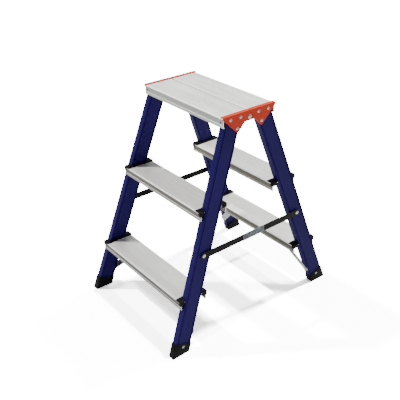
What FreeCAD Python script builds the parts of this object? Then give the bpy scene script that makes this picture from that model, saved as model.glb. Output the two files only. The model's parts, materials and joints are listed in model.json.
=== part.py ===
import FreeCAD, Part
import math
import os

from FreeCAD import Vector

os.makedirs("parts", exist_ok=True)

# Double-sided folding step ladder. Millimetres, +Z up, the floor at z = 0 and the origin
# on the floor under the middle of the platform. The front side faces -Y, right is +X.
# Heights and Y places are for the front frame; the rear frame is the same turned round Z.

# ------------------------------------------------------------------ overall sizes
platform_height = 680.0       # floor to the standing surface
tread_rise = 254.0            # from one tread's top to the next
foot_centre_y = 295.0         # stile centreline at the floor, from the middle
top_centre_y = 49.5           # stile centreline at the platform's height
foot_outer_x = 228.3          # stile's outer face at the floor
hinge_plate_inner_x = 183.8   # inner face of the hinge plates

# ------------------------------------------------------------------ stile profile
stile_width = 20.0            # across, along the tread
stile_depth = 54.0            # fore and aft, square to the stile
stile_lip = 2.5               # edge lip beside each groove
stile_groove_width = 5.5
stile_groove_depth = 2.5
stile_web_recess = 1.0        # side face, below the lips
stile_wall = 1.5
stile_flange_wall = 2.2
stile_corner = 1.2            # rounding of the long edges
stile_foot_cut = 8.0          # the stile's cut end above the floor
stile_top_gap = 0.5           # under the platform's top skin

# ------------------------------------------------------------------ treads
tread_top_wall = 2.3
tread_rib_height = 0.7
tread_rib_width = 2.4
tread_rib_pitch = 4.4
tread_wall = 2.4
tread_wall_height = 26.0
tread_depth = 91.5
tread_lip = 5.0               # inward lip at the foot of each wall
tread_lip_wall = 1.6
tread_nose = 5.0              # plain band under the front edge
tread_band = 8.0              # raised band at the foot of the wall
tread_band_recess = 1.0
tread_front_gap = 1.5         # front wall's foot to the stile flange
tread_end_inset = 5.2         # tread end, inside the stile's outer face
under_rib_wall = 2.5          # two ribs under the tread's skin
under_rib_height = 19.0
under_rib_inset = 28.5        # rib's near face, from the tread's edge
notch_gap = 0.25              # between a tread or cap and the stile it hugs

platform_wall_height = 29.0
platform_depth = 93.2
platform_seam = 3.0           # gap between the two half treads
platform_inner_wall = 16.0    # height of the wall beside the seam
platform_rib_height = 9.0
platform_end_gap = 0.3        # tread end to hinge plate

# ------------------------------------------------------------------ tread end caps
cap_strip = 7.5               # width beside the stile
cap_height = 3.8
cap_over = 2.6                # past the tread's front and rear edges
cap_lug_wall = 2.5
cap_lug_drop = 9.5
cap_front_lug = 10.0
cap_rear_lug = 16.0
cap_corner = 4.0
cap_bevel = 1.8

# ------------------------------------------------------------------ hinge
plate_wall = 2.0
plate_flange = 12.0           # top flange, over the tread's end
plate_half_length = 96.0
plate_end_height = 7.0
plate_tip_y = 44.0
plate_tip_drop = 55.5         # the tip's foot, below the plate's top
plate_tip_radius = 5.0
plate_tip_gap = 0.87           # from the tip to the stile's splayed face
plate_throat_y = 17.5         # where the inner edge meets the lug
plate_seam = 1.5
pin_drop = 18.0               # pin centre, below the standing surface
pin_radius = 4.0
pin_clearance = 0.05
pin_head_radius = 6.5
pin_head_height = 2.8
pin_upset_radius = 6.0
pin_upset_length = 2.5
lug_radius = 10.0
lug_gap = 0.4                 # between the front and rear lugs
lug_side_gap = 1.0            # rear plate, round the front lug
joggle_end_y = 24.0           # the rear lug's step ends here
upper_rivet_drop = 11.0
upper_rivet_ys = (33.0, 69.0)
lower_rivet_drop = 41.0
lower_rivet_y = 45.0

# ------------------------------------------------------------------ rivets and screws
rivet_radius = 2.4
rivet_clearance = 0.05
rivet_head_radius = 4.8
rivet_head_height = 2.0
rivet_dimple_radius = 1.6
rivet_dimple_depth = 1.0
rivet_bulb_radius = 3.4
rivet_bulb_length = 4.0
screw_radius = 2.0
screw_head_radius = 3.6
screw_head_height = 0.8       # inside the tread's recessed band
screw_bite = 4.0              # past the flange's inner side

# ------------------------------------------------------------------ feet
foot_wall = 1.8
foot_fit = 0.1
foot_height = 36.5            # along the stile
foot_corner = 2.5
plug_fit = 0.3
plug_height = 33.0            # along the stile
foot_rivet_z = 26.0
foot_rivet_head_radius = 4.5

# ------------------------------------------------------------------ braces
brace_width = 20.0
brace_wall = 2.0
brace_foot_drop = 115.0       # the brace's foot, below the lowest tread's top
brace_slope = 1.022           # rise for each millimetre run inwards
brace_tab_width = 26.0
brace_tab_top_gap = 1.0       # under the tread's skin
brace_tab_height = 17.0
brace_rivet_head_radius = 4.5
brace_rivet_head_height = 1.8

# ------------------------------------------------------------------ stays
stay_height = 297.0           # pivot and stud above the floor
stay_width = 20.0
stay_wall = 3.0
stay_face_gap = 0.4           # bar to the stile at the bar's lower edge
stay_side_gap = 0.3           # bar to the shoulder and to the head
stay_pivot_radius = 4.0
stay_pivot_clearance = 0.05
stay_shoulder_radius = 6.0
stay_head_radius = 6.0
stay_head_height = 2.4
stay_stud_radius = 3.0
stay_slot_clearance = 0.4
stay_tail = 7.0               # hook's end past the stud
stay_tail_corner = 4.0
stay_hook_length = 20.0        # from the stud back to the hook end's joint
stay_lift_ratio = 1.8         # degrees the bar is lifted for each degree of fold
slot_curve = 0.7              # degrees, chord of the stud's path to its tangent at rest
label_length = 85.0
label_wall = 0.4
label_offset_y = 2.5

# ------------------------------------------------------------------ derived
far = 1000.0
pin_z = platform_height - pin_drop
lean_slope = (foot_centre_y - top_centre_y) / platform_height
lean = math.degrees(math.atan(lean_slope))
cos_lean = math.cos(math.radians(lean))
plate_top_z = platform_height + plate_wall
plate_tip_z = plate_top_z - plate_tip_drop
plate_outer_x = hinge_plate_inner_x + plate_wall
# The stile's outer face comes nearest to the hinge plate at the plate's lower tip.
# At one height, the splayed side faces also draw in from the front edge to the rear.
sin_cos_lean = cos_lean * math.sin(math.radians(lean))
tip_behind_centre = foot_centre_y - plate_tip_z * lean_slope - plate_tip_y
splay_fall = plate_tip_z + tip_behind_centre * sin_cos_lean
splay_slope = (foot_outer_x - (hinge_plate_inner_x - plate_tip_gap)) / splay_fall
face_slope_y = splay_slope * sin_cos_lean
splay = math.degrees(math.atan(splay_slope * cos_lean))
stile_run_x = stile_width / math.cos(math.atan(splay_slope))
stile_half_run_y = stile_depth / 2 / cos_lean
foot_centre_x = foot_outer_x - stile_run_x / 2
tread_tops = {"lower": platform_height - 2 * tread_rise, "upper": platform_height - tread_rise}
skin = tread_top_wall + tread_rib_height
stay_half = stay_width / 2
hinge_relief_x = hinge_plate_inner_x - lug_gap - plate_wall - pin_upset_length - 3.0


def centre_y(z):
    """Y of the front stile's centreline at height z."""
    return -(foot_centre_y - z * lean_slope)


def outer_x(z):
    """X of the stile's outer face at height z."""
    return foot_outer_x - z * splay_slope


def inner_x(z):
    return outer_x(z) - stile_run_x


# ------------------------------------------------------------------ helpers
def box(x0, x1, y0, y1, z0, z1):
    low = Vector(min(x0, x1), min(y0, y1), min(z0, z1))
    return Part.makeBox(abs(x1 - x0), abs(y1 - y0), abs(z1 - z0), low)


def cylinder(radius, start, end):
    start = Vector(*start)
    along = Vector(*end) - start
    return Part.makeCylinder(radius, along.Length, start, along)


def dome(radius, height, base, direction):
    """A low rounded head on its flat base."""
    axis = Vector(*direction).normalize()
    ball_radius = (radius ** 2 + height ** 2) / (2 * height)
    centre = Vector(*base) + axis * (height - ball_radius)
    ball = Part.makeSphere(ball_radius, centre)
    return ball.common(Part.makeCylinder(radius, height, Vector(*base), axis))


def slab_x(points, x0, x1):
    """A (y, z) outline made into a plate from x0 to x1."""
    wire = Part.makePolygon([Vector(min(x0, x1), y, z) for y, z in points + points[:1]])
    return Part.Face(wire).extrude(Vector(abs(x1 - x0), 0, 0))


def long_edges(shape, length):
    return [e for e in shape.Edges if abs(e.Length - length) < 0.01]


def turned(shape):
    """The same piece on the rear frame."""
    copy = shape.copy()
    copy.rotate(Vector(0, 0, 0), Vector(0, 0, 1), 180)
    return copy


def cut_all(shape, tools):
    for tool in tools:
        shape = shape.cut(tool)
    return shape


def save(name, solids):
    """Write one node: a single solid, or a group of separate ones."""
    shape = solids if not isinstance(solids, list) else Part.makeCompound(solids)
    count = len(solids) if isinstance(solids, list) else 1
    found = [s for s in shape.Solids if s.isValid() and s.Volume > 0]
    if len(shape.Solids) != count or len(found) != count:
        raise ValueError(f"{name}: {len(shape.Solids)} solids, {len(found)} sound, {count} wanted")
    shape.exportStep(f"parts/{name}.step")
    print(f"{name}: {count} solid(s), {shape.Volume / 1000:.1f} cm3")


# ------------------------------------------------------------------ stiles
def place_in_frame(shape, side):
    """From stile axes (across, depth, along) to the leaning, splayed front stile."""
    copy = shape.copy()
    copy.rotate(Vector(0, 0, 0), Vector(0, 1, 0), -side * splay)
    copy.rotate(Vector(0, 0, 0), Vector(1, 0, 0), -lean)
    copy.translate(Vector(side * foot_centre_x, -foot_centre_y, 0))
    return copy


def stile_bar(grow, side, z0, z1):
    """The plain envelope of a stile, grown on every side, between two heights."""
    half_w = stile_width / 2 + grow
    half_d = stile_depth / 2 + grow
    bar = place_in_frame(box(-half_w, half_w, -half_d, half_d, -far, far), side)
    return bar.common(box(-far, far, -far, far, z0, z1))


def stile_half_outline():
    """One side of the profile, from the front edge to the rear edge."""
    x_face = stile_width / 2
    x_groove = x_face - stile_groove_depth
    x_web = x_face - stile_web_recess
    edge = stile_depth / 2
    ramp = 0.8
    front = [
        (x_face, -edge),
        (x_face, -edge + stile_lip),
        (x_groove, -edge + stile_lip + ramp),
        (x_groove, -edge + stile_lip + stile_groove_width - ramp),
        (x_web, -edge + stile_lip + stile_groove_width),
    ]
    rear = [(x, -y) for x, y in reversed(front)]
    return front + rear


def make_stile(side, holes):
    right = stile_half_outline()
    left = [(-x, y) for x, y in reversed(right)]
    outline = right + left
    length = 2 * platform_height
    start = -length / 4
    wire = Part.makePolygon([Vector(x, y, start) for x, y in outline + outline[:1]])
    bar = Part.Face(wire).extrude(Vector(0, 0, length))
    corners = []
    for edge in long_edges(bar, length):
        point = edge.Vertexes[0].Point
        if abs(abs(point.x) - stile_width / 2) < 0.01 and abs(abs(point.y) - stile_depth / 2) < 0.01:
            corners.append(edge)
    bar = bar.makeFillet(min(stile_corner, stile_lip * 0.6), corners)
    half_w = stile_width / 2 - stile_groove_depth - stile_wall
    half_d = stile_depth / 2 - stile_flange_wall
    bar = bar.cut(box(-half_w, half_w, -half_d, half_d, start - 1, start + length + 1))
    top = platform_height - skin - stile_top_gap
    bar = place_in_frame(bar, side).common(box(-far, far, -far, far, stile_foot_cut, top))
    return cut_all(bar, holes)


# ------------------------------------------------------------------ treads
def tread_outline(front_y, depth, top, wall_height, inner_height, rib_height, rib_y, inner_lip):
    """Closed (y, z) outline of a ribbed channel tread, open below. rib_y is its rear under-rib."""
    rear_y = front_y + depth
    bevel = 1.4
    foot = top - wall_height
    rear_foot = top - inner_height
    base = top - tread_rib_height
    under = top - skin
    recess = front_y + tread_band_recess
    points = [
        (front_y, foot),
        (front_y, foot + tread_band),
        (recess, foot + tread_band + tread_band_recess),
        (recess, top - tread_nose - tread_band_recess),
        (front_y, top - tread_nose),
        (front_y, top - bevel),
        (front_y + bevel, top),
    ]
    plain = 5.0
    count = int((depth - 2 * plain) // tread_rib_pitch)
    margin = (depth - count * tread_rib_pitch + (tread_rib_pitch - tread_rib_width)) / 2
    for index in range(count + 1):
        groove_end = front_y + margin + index * tread_rib_pitch
        groove_start = groove_end - (tread_rib_pitch - tread_rib_width)
        points += [(groove_start, top), (groove_start, base), (groove_end, base), (groove_end, top)]
    points += [(rear_y - bevel, top), (rear_y, top - bevel), (rear_y, rear_foot)]
    if inner_lip:
        points += [
            (rear_y - tread_lip, rear_foot),
            (rear_y - tread_lip, rear_foot + tread_lip_wall),
            (rear_y - tread_wall, rear_foot + tread_lip_wall),
        ]
    else:
        points += [(rear_y - tread_wall, rear_foot)]
    points += [(rear_y - tread_wall, under)]
    for rib_rear in (rib_y, front_y + under_rib_inset + under_rib_wall):
        points += [
            (rib_rear, under),
            (rib_rear, under - rib_height),
            (rib_rear - under_rib_wall, under - rib_height),
            (rib_rear - under_rib_wall, under),
        ]
    points += [
        (front_y + tread_wall, under),
        (front_y + tread_wall, foot + tread_lip_wall),
        (front_y + tread_lip, foot + tread_lip_wall),
        (front_y + tread_lip, foot),
    ]
    return points


def tread_front_y(top):
    """The front wall's foot just clears the stile's front flange."""
    foot = top - tread_wall_height
    return centre_y(foot) - stile_half_run_y - tread_front_gap - tread_wall


def flange_y(z):
    """The stile's inner flange face at height z."""
    return centre_y(z) + stile_half_run_y


def rear_rib_y(top):
    """The rear under-rib's rear face meets the inner flanges' plane below the brace's tab."""
    return flange_y(top - skin - brace_tab_top_gap - brace_tab_height)


def tread_end_x(top):
    return outer_x(top - tread_wall_height / 2) - tread_end_inset


def make_tread(top, holes):
    front_y = tread_front_y(top)
    end = tread_end_x(top)
    outline = tread_outline(front_y, tread_depth, top, tread_wall_height,
                            tread_wall_height, under_rib_height, rear_rib_y(top), True)
    tread = slab_x(outline, -end, end)
    notches = [stile_bar(notch_gap, side, 0, platform_height) for side in (1, -1)]
    return cut_all(tread, notches + holes)


def platform_front_y():
    return -(platform_seam / 2 + platform_depth)


def make_platform(holes):
    end = hinge_plate_inner_x - platform_end_gap
    rib_y = -platform_seam / 2 - under_rib_inset
    outline = tread_outline(platform_front_y(), platform_depth, platform_height, platform_wall_height,
                            platform_inner_wall, platform_rib_height, rib_y, False)
    tread = slab_x(outline, -end, end)
    under = platform_height - skin
    notches = [stile_bar(notch_gap, side, 0, under) for side in (1, -1)]
    past_stile = outer_x(platform_height) - stile_width / 2
    ribs_from = platform_front_y() + tread_lip
    for side in (1, -1):
        notches.append(box(side * hinge_relief_x, side * far, -joggle_end_y, far, 0, under))
        notches.append(box(side * past_stile, side * far, ribs_from, far, 0, under))
    return cut_all(tread, notches + holes)


# ------------------------------------------------------------------ tread end caps
def make_cap(top, side):
    """U-shaped collar on the tread's end: a strip inside the stile and an ear at each edge."""
    front = tread_front_y(top)
    rear = front + tread_depth
    end = tread_end_x(top)
    tip = end + cap_lug_wall
    strip = inner_x(top) - cap_strip
    collar = box(strip, tip, front - cap_over, rear + cap_over, top, top + cap_height)
    corners = [e for e in long_edges(collar, cap_height) if e.Vertexes[0].Point.x > end]
    collar = collar.makeFillet(cap_corner, corners)
    rim = [e for e in collar.Edges
           if all(abs(v.Point.z - top - cap_height) < 0.01 for v in e.Vertexes)]
    collar = collar.makeChamfer(min(cap_bevel, cap_height * 0.6), rim)
    drop = top - cap_lug_drop
    skirt = box(end - cap_strip, tip, front - cap_over, rear + cap_over, drop, top)
    corners = [e for e in long_edges(skirt, cap_lug_drop) if e.Vertexes[0].Point.x > end]
    skirt = skirt.makeFillet(cap_corner, corners)
    skirt = skirt.cut(box(0, end, front, rear, drop - 1, top + 1))
    gap = box(end - 1, far, front + cap_front_lug, rear - cap_rear_lug, 0, top + cap_height + 1)
    cap = collar.fuse(skirt).removeSplitter().cut(gap)
    if side < 0:
        cap = cap.mirror(Vector(0, 0, 0), Vector(1, 0, 0))
    return cap.cut(stile_bar(notch_gap, side, 0, platform_height))


# ------------------------------------------------------------------ hinge
def plate_outline(top):
    """Front plate's (y, z) outline, without its rounded tip and lug."""
    return [
        (-plate_half_length, top),
        (-plate_half_length, plate_top_z - plate_end_height),
        (-plate_tip_y - plate_tip_radius * 0.7, plate_tip_z + plate_tip_radius * 0.3),
        (-plate_tip_y + plate_tip_radius * 0.87, plate_tip_z + plate_tip_radius * 0.5),
        (-plate_throat_y, pin_z - lug_radius),
        (-plate_seam / 2, pin_z - lug_radius),
        (-plate_seam / 2, top),
    ]


def flat_plate(side):
    """The plate's upright with its rounded tip, and its top flange over the tread."""
    inner = side * hinge_plate_inner_x
    outer = side * plate_outer_x
    upright = slab_x(plate_outline(plate_top_z), inner, outer)
    tip = (-plate_tip_y, plate_tip_z + plate_tip_radius)
    tip = cylinder(plate_tip_radius, (inner, *tip), (outer, *tip))
    flange = box(outer - side * plate_flange, outer, -plate_half_length, -plate_seam / 2,
                 platform_height, plate_top_z)
    plate = upright.fuse([tip, flange]).removeSplitter()
    bend = [e for e in plate.Edges
            if all(abs(v.Point.z - plate_top_z) < 0.01 and abs(v.Point.x - outer) < 0.01
                   for v in e.Vertexes)]
    return plate.makeFillet(plate_wall * 0.75, bend)


def lug_disc(radius, x0, x1):
    return cylinder(radius, (x0, 0, pin_z), (x1, 0, pin_z))


def make_front_plate(side, holes):
    """Its lug lies in the plate's own plane and carries the pin."""
    inner = side * hinge_plate_inner_x
    outer = side * plate_outer_x
    plate = flat_plate(side).fuse(lug_disc(lug_radius, inner, outer)).removeSplitter()
    bore = lug_disc(pin_radius + pin_clearance, inner - side, outer + side)
    return cut_all(plate, [bore] + holes)


def make_rear_plate(side, holes):
    """Built on the front side and turned round: its lug is stepped in behind the other's."""
    inner = side * hinge_plate_inner_x
    outer = side * plate_outer_x
    lug_face = inner - side * lug_gap
    lug_back = lug_face - side * plate_wall
    plate = flat_plate(side).cut(lug_disc(lug_radius + lug_side_gap, inner - side, outer + side))
    top = platform_height - skin - stile_top_gap
    step = slab_x(plate_outline(top), lug_back, outer)
    step = step.common(box(-far, far, -joggle_end_y, 0, pin_z - lug_radius, top))
    step = step.cut(lug_disc(lug_radius + lug_side_gap, lug_face, outer + side))
    lug = lug_disc(lug_radius, lug_back, lug_face)
    plate = plate.fuse([step, lug]).removeSplitter()
    bore = lug_disc(pin_radius + pin_clearance, lug_back - side, lug_face + side)
    return turned(cut_all(plate, [bore] + holes))


def make_pin(side):
    """Domed head outside, shank through both lugs, upset end inside."""
    head_x = side * plate_outer_x
    upset_x = side * (hinge_plate_inner_x - lug_gap - plate_wall - lug_gap)
    end_x = upset_x - side * pin_upset_length
    shank = lug_disc(pin_radius, end_x, head_x)
    upset = lug_disc(pin_upset_radius, end_x, upset_x)
    head = dome(pin_head_radius, pin_head_height, (head_x, 0, pin_z), (side, 0, 0))
    return shank.fuse([upset, head]).removeSplitter()


# ------------------------------------------------------------------ fasteners
def rivet_x(side, face_x, y, z, head_radius, inside_x, bulb):
    """Blind rivet along X: dimpled head on face_x, shank in to inside_x."""
    head = dome(head_radius, rivet_head_height, (side * face_x, y, z), (side, 0, 0))
    shank = cylinder(rivet_radius, (side * inside_x, y, z), (side * face_x, y, z))
    rivet = head.fuse(shank)
    if bulb:
        bulb_end = side * (inside_x + rivet_bulb_length)
        rivet = rivet.fuse(cylinder(rivet_bulb_radius, (side * inside_x, y, z), (bulb_end, y, z)))
    tip_x = side * (face_x + rivet_head_height)
    dimple = cylinder(rivet_dimple_radius, (tip_x - side * rivet_dimple_depth, y, z),
                      (tip_x + side, y, z))
    return rivet.removeSplitter().cut(dimple)


def hole_x(side, y, z, inside_x, outside_x):
    return cylinder(rivet_radius + rivet_clearance, (side * inside_x, y, z), (side * outside_x, y, z))


def plate_rivet_places():
    places = [(-y, platform_height - upper_rivet_drop) for y in upper_rivet_ys]
    return places + [(-lower_rivet_y, platform_height - lower_rivet_drop)]


def stile_hollow_face_x(y, z):
    """Inner face of the stile's outer wall."""
    return outer_x(z) - (y - centre_y(z)) * face_slope_y - stile_groove_depth - stile_wall


def plate_rivet_inside(y, z):
    """End of the bulb, whose head side clears the hollow's sloping face."""
    return stile_hollow_face_x(y, z) - 0.8 - rivet_bulb_length


def plate_rivets():
    rivets = []
    for side in (1, -1):
        for y, z in plate_rivet_places():
            rivets.append(rivet_x(side, plate_outer_x, y, z, rivet_head_radius,
                                  plate_rivet_inside(y, z), True))
    return rivets


def plate_holes(side):
    return [hole_x(side, y, z, plate_rivet_inside(y, z), plate_outer_x + 1)
            for y, z in plate_rivet_places()]


def screw_places():
    """Each screw's (x, tread front y, z) on the right side, through a front wall."""
    places = []
    for top in tread_tops.values():
        z = top - tread_wall_height / 2
        x = (inner_x(z) + tread_end_x(top)) / 2
        places.append((x, tread_front_y(top) + tread_band_recess, z))
    z = platform_height - platform_wall_height / 2
    x = (inner_x(z) + hinge_plate_inner_x - platform_end_gap) / 2
    places.append((x, platform_front_y() + tread_band_recess, z))
    return places


def screw_end_y(z):
    return centre_y(z) - stile_half_run_y + stile_flange_wall / cos_lean + screw_bite


def tread_screws():
    screws = []
    for side in (1, -1):
        for x, y, z in screw_places():
            head = dome(screw_head_radius, screw_head_height, (side * x, y, z), (0, -1, 0))
            shank = cylinder(screw_radius, (side * x, y, z), (side * x, screw_end_y(z), z))
            screws.append(head.fuse(shank).removeSplitter())
    return screws


def screw_holes(side):
    holes = []
    for x, y, z in screw_places():
        holes.append(cylinder(screw_radius + rivet_clearance, (side * x, y - 5, z),
                              (side * x, screw_end_y(z) + 1, z)))
    return holes


# ------------------------------------------------------------------ feet
def foot_rivet_place():
    face_x = outer_x(foot_rivet_z) + (foot_fit + foot_wall) / math.cos(math.radians(splay))
    return face_x + 0.3, centre_y(foot_rivet_z), foot_rivet_z


def foot_rivet_inside():
    return stile_hollow_face_x(centre_y(foot_rivet_z), foot_rivet_z) - 5.0


def foot_rivets():
    face_x, y, z = foot_rivet_place()
    return [rivet_x(side, face_x, y, z, foot_rivet_head_radius, foot_rivet_inside(), False)
            for side in (1, -1)]


def foot_hole(side):
    face_x, y, z = foot_rivet_place()
    return hole_x(side, y, z, foot_rivet_inside() - 0.1, face_x + 1)


def make_foot(side):
    """Boot round the stile's end, with a plug inside the stile and a flat sole."""
    half_w = stile_width / 2 + foot_fit + foot_wall
    half_d = stile_depth / 2 + foot_fit + foot_wall
    length = 3 * foot_height
    boot = box(-half_w, half_w, -half_d, half_d, foot_height - length, foot_height)
    boot = boot.makeFillet(foot_corner, long_edges(boot, length))
    rim = [e for e in boot.Edges if all(abs(v.Point.z - foot_height) < 0.01 for v in e.Vertexes)]
    boot = boot.makeChamfer(foot_wall * 0.4, rim)
    boot = place_in_frame(boot, side).common(box(-far, far, -far, far, 0, far))
    boot = boot.cut(stile_bar(foot_fit, side, stile_foot_cut, far))
    half_w = stile_width / 2 - stile_groove_depth - stile_wall - plug_fit
    half_d = stile_depth / 2 - stile_flange_wall - plug_fit
    plug = place_in_frame(box(-half_w, half_w, -half_d, half_d, -far, plug_height), side)
    plug = plug.common(box(-far, far, -far, far, stile_foot_cut / 2, far))
    return boot.fuse(plug).removeSplitter().cut(foot_hole(side))


# ------------------------------------------------------------------ braces
def brace_rib_y():
    """Rear face of the lowest tread's rear under-rib."""
    return rear_rib_y(tread_tops["lower"])


def brace_foot_z():
    return tread_tops["lower"] - brace_foot_drop


def brace_foot_x():
    return (outer_x(brace_foot_z()) + inner_x(brace_foot_z())) / 2


def brace_tab_z():
    top = tread_tops["lower"] - skin - brace_tab_top_gap
    return top - brace_tab_height, top


def brace_tab_x():
    low, high = brace_tab_z()
    return brace_foot_x() - (low - brace_foot_z()) / brace_slope


def make_brace(side):
    """Flat strip on the inner flanges' plane, bent upright against the tread's rib."""
    low, high = brace_tab_z()
    foot_x = brace_foot_x()
    tab_x = brace_tab_x()
    run = Vector(tab_x - foot_x, 0, low - brace_foot_z())
    across = Vector(-run.z, 0, run.x).normalize() * (brace_width / 2)
    reach = run * (1 + 6.0 / run.Length)
    foot = Vector(foot_x, 0, brace_foot_z())
    corners = [foot + across, foot + across + reach, foot - across + reach, foot - across]
    # The strip's outline is drawn upright and pushed along Y through the leaning slab.
    wire = Part.makePolygon([p + Vector(0, -far, 0) for p in corners + corners[:1]])
    strip = Part.Face(wire).extrude(Vector(0, 2 * far, 0))
    end = cylinder(brace_width / 2, (foot_x, -far, brace_foot_z()), (foot_x, far, brace_foot_z()))
    slab_low = stile_depth / 2
    slab = place_in_frame(box(-far, far, slab_low, slab_low + brace_wall, -far, far), 1)
    strip = strip.fuse(end).common(slab)
    strip = strip.common(box(-far, far, -far, far, 0, high))
    face = brace_rib_y()
    tab = box(tab_x - brace_tab_width / 2, tab_x + brace_tab_width / 2,
              face, face + brace_wall, low - brace_wall, high)
    strip = strip.common(box(-far, far, -far, far, 0, low + brace_wall))
    strip = strip.cut(box(-far, far, face - far, face, low - brace_wall, far))
    brace = strip.fuse(tab).removeSplitter()
    if side < 0:
        brace = brace.mirror(Vector(0, 0, 0), Vector(1, 0, 0))
    return cut_all(brace, [brace_foot_hole(side), brace_tab_hole(side)])


def frame_axis():
    """Unit normal of the leaning frame, towards the other frame."""
    return Vector(0, cos_lean, -math.sin(math.radians(lean)))


def brace_foot_centre(side):
    return Vector(side * brace_foot_x(), flange_y(brace_foot_z()), brace_foot_z())


def brace_foot_hole(side):
    start = brace_foot_centre(side) - frame_axis() * (stile_flange_wall + 3)
    return Part.makeCylinder(rivet_radius + rivet_clearance, stile_flange_wall + 8, start, frame_axis())


def brace_tab_centre(side):
    low, high = brace_tab_z()
    return Vector(side * brace_tab_x(), brace_rib_y(), (low + high) / 2)


def brace_tab_hole(side):
    start = brace_tab_centre(side) - Vector(0, under_rib_wall + 3, 0)
    return Part.makeCylinder(rivet_radius + rivet_clearance, under_rib_wall + 8, start, Vector(0, 1, 0))


def two_headed_rivet(centre, axis, behind):
    """Rivet through a brace and the wall behind it, whose shared face is at centre."""
    front = centre + axis * brace_wall
    back = centre - axis * behind
    shank = Part.makeCylinder(rivet_radius, brace_wall + behind, back, axis)
    heads = [
        dome(brace_rivet_head_radius, brace_rivet_head_height, tuple(front), tuple(axis)),
        dome(brace_rivet_head_radius, brace_rivet_head_height, tuple(back), tuple(axis * -1)),
    ]
    return shank.fuse(heads).removeSplitter()


def brace_rivets():
    rivets = []
    for side in (1, -1):
        rivets.append(two_headed_rivet(brace_foot_centre(side), frame_axis(), stile_flange_wall))
        rivets.append(two_headed_rivet(brace_tab_centre(side), Vector(0, 1, 0), under_rib_wall))
    return rivets


# ------------------------------------------------------------------ stays
def stay_pivot_y():
    return centre_y(stay_height)


def stay_inner_x():
    """The bar hangs plumb, clear of the stile at its lower edge."""
    return outer_x(stay_height - stay_half) + stay_face_gap


def stay_seat_x():
    """The web face that a shoulder stands on, at the top of the shoulder."""
    return outer_x(stay_height - stay_shoulder_radius) - stile_web_recess + 0.1


def slot_lean():
    """Degrees from vertical, along the stud's path out of the hook."""
    stud = -stay_pivot_y()
    sink = stud * (1 + 2 * stay_lift_ratio)
    return math.degrees(math.atan((pin_z - stay_height) / sink)) + slot_curve


def make_stay(side):
    """The bar and its hook end, which meet face to face in front of the stud."""
    inner = side * stay_inner_x()
    outer = inner + side * stay_wall
    pivot = stay_pivot_y()
    stud = -pivot
    tail = stud + stay_tail
    bar = box(inner, outer, pivot, tail, stay_height - stay_half, stay_height + stay_half)
    corners = [e for e in long_edges(bar, stay_wall) if e.Vertexes[0].Point.y > stud]
    bar = bar.makeFillet(stay_tail_corner, corners)
    bar = bar.fuse(cylinder(stay_half, (inner, pivot, stay_height), (outer, pivot, stay_height)))
    bore = cylinder(stay_pivot_radius + stay_pivot_clearance, (inner - side, pivot, stay_height),
                    (outer + side, pivot, stay_height))
    half_slot = stay_stud_radius + stay_slot_clearance
    slot = box(inner - side, outer + side, stud - half_slot, stud + half_slot,
               stay_height - stay_width, stay_height)
    slot = slot.fuse(cylinder(half_slot, (inner - side, stud, stay_height), (outer + side, stud, stay_height)))
    slot.rotate(Vector(0, stud, stay_height), Vector(1, 0, 0), -slot_lean())
    whole = bar.removeSplitter().cut(bore).cut(slot)
    joint = stud - stay_hook_length
    beyond = box(-far, far, joint, far, 0, platform_height)
    return whole.cut(beyond), whole.common(beyond)


def make_label(side):
    """Thin sleeve on the bar's outer face and both its edges."""
    inner = side * stay_inner_x()
    outer = inner + side * stay_wall
    y0 = label_offset_y - label_length / 2
    low = stay_height - stay_half
    high = stay_height + stay_half
    sleeve = box(inner, outer + side * label_wall, y0, y0 + label_length, low - label_wall, high + label_wall)
    return sleeve.cut(box(inner - side, outer, y0 - 1, y0 + label_length + 1, low, high))


def stay_post(side, y, shank_radius):
    """Shouldered stud on a stile's outer web, with a domed head outside the bar."""
    seat = side * stay_seat_x()
    shoulder_end = side * (stay_inner_x() - stay_side_gap)
    head_face = side * (stay_inner_x() + stay_wall + stay_side_gap)
    inside = side * (outer_x(stay_height) - stile_groove_depth - stile_wall - 2.0)
    shoulder = cylinder(stay_shoulder_radius, (seat, y, stay_height), (shoulder_end, y, stay_height))
    shank = cylinder(shank_radius, (inside, y, stay_height), (head_face, y, stay_height))
    head = dome(stay_head_radius, stay_head_height, (head_face, y, stay_height), (side, 0, 0))
    return shoulder.fuse([shank, head]).removeSplitter()


def post_hole(side, y, shank_radius):
    inside = side * (outer_x(stay_height) - stile_groove_depth - stile_wall - 3.0)
    return cylinder(shank_radius + rivet_clearance, (inside, y, stay_height),
                    (side * (stay_seat_x() + 5), y, stay_height))


# ------------------------------------------------------------------ build
side_names = {1: "right", -1: "left"}


def frame_stile(side, post_radius):
    holes = plate_holes(side) + screw_holes(side)
    holes += [foot_hole(side), brace_foot_hole(side), post_hole(side, stay_pivot_y(), post_radius)]
    return make_stile(side, holes)


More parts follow.
